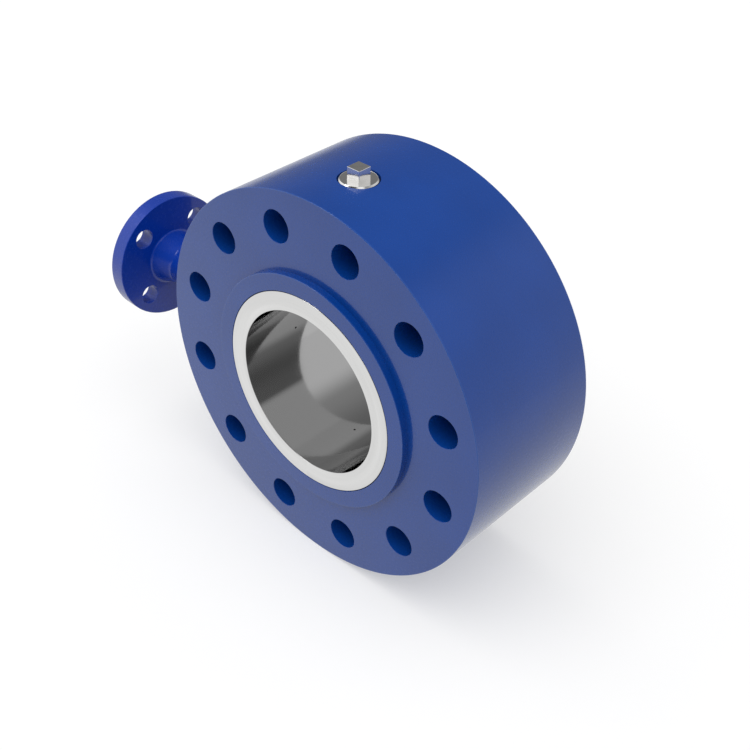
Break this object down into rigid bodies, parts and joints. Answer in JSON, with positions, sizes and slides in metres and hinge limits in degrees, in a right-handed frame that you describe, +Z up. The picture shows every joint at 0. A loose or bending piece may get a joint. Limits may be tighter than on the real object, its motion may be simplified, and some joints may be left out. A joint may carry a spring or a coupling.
{
  "type": "steam desuperheater",
  "caption": "Ring type steam desuperheater: thick flanged body with a polished spray liner, a side water inlet flange and a square headed plug on top.",
  "frame": {"origin": "where the steam bore's axis meets the water inlet's axis, which is the centre of the spray plane", "axes": "+Y is the way the steam flows along the bore, +Z is up along the access plug's axis, and the water inlet points to -X"},
  "size_m": [0.4465, 0.152, 0.3656],
  "materials": {
    "blue_paint": "gloss enamel on forged steel",
    "polished_steel": "polished stainless steel",
    "turned_steel": "fine turned stainless steel",
    "graphite": "pressed graphite",
    "copper": "annealed copper",
    "dark_steel": "blackened steel"
  },
  "bodies": {
    "housing": {"body_ring": "blue_paint", "liner_ring": "polished_steel", "front_packing_ring": "graphite", "rear_packing_ring": "graphite", "shoulder_gasket": "graphite", "locating_dowel": "turned_steel", "retaining_ring": "turned_steel", "lock_screw_lower": "dark_steel", "lock_screw_upper": "dark_steel", "spray_jet_right": "turned_steel", "spray_jet_top": "turned_steel", "spray_jet_left": "turned_steel", "spray_jet_bottom": "turned_steel", "jet_washer_right": "copper", "jet_washer_top": "copper", "jet_washer_left": "copper", "jet_washer_bottom": "copper", "inlet_flange": "blue_paint", "inlet_butt_weld": "blue_paint", "inlet_neck": "blue_paint", "neck_fillet_weld": "blue_paint", "thermal_sleeve": "turned_steel"},
    "sealing_washer": {"plug_washer": "copper"},
    "plug": {"access_plug": "polished_steel"}
  },
  "joints": [
    {"name": "plug_lift", "type": "slide", "parent": "housing", "child": "sealing_washer", "axis": [0, 0, 1], "range_m": [0, 0.01995]},
    {"name": "plug_turn", "type": "hinge", "parent": "sealing_washer", "child": "plug", "pos_m": [0, 0, 0.1778], "axis": [0, 0, 1], "range_deg": [0, 3960]}
  ],
  "couplings": [
    {"joint": "plug_turn", "follows": "plug_lift", "rad_per_m": 3463.2}
  ]
}
